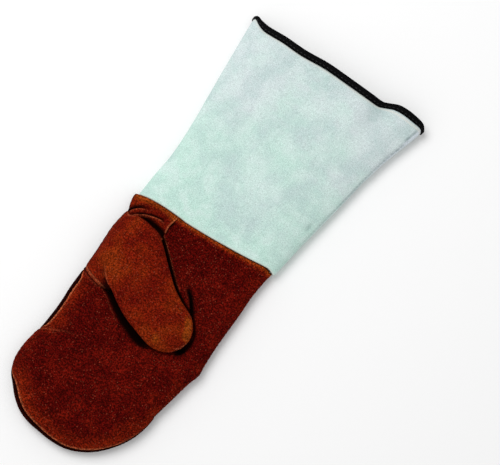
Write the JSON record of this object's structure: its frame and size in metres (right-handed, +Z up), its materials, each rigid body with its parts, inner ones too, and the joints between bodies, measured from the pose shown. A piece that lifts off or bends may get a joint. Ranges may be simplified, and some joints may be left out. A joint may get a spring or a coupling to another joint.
{
  "type": "long-cuff leather oven glove",
  "caption": "Right-hand oven mitt of split leather with a flared gauntlet cuff, lying palm up with its thumb folded over the palm; keeps heat off hand and forearm.",
  "frame": {"origin": "middle of the glove's box, on the surface that it lies on", "axes": "+Y from the fingertips to the mouth of the cuff, +X from the thumb side to the little finger's side, +Z up out of the palm"},
  "size_m": [0.2092, 0.4768, 0.0422],
  "materials": {
    "brown_suede": "matt suede, reddish brown",
    "thumb_suede": "matt suede, lighter orange brown",
    "grey_suede": "matt suede, pale grey green",
    "black_tape": "woven tape, slight sheen"
  },
  "bodies": {
    "root": {"palm": "brown_suede", "back": "brown_suede", "thumb": "thumb_suede", "cuff": "grey_suede", "cuff_binding": "black_tape"}
  },
  "joints": []
}
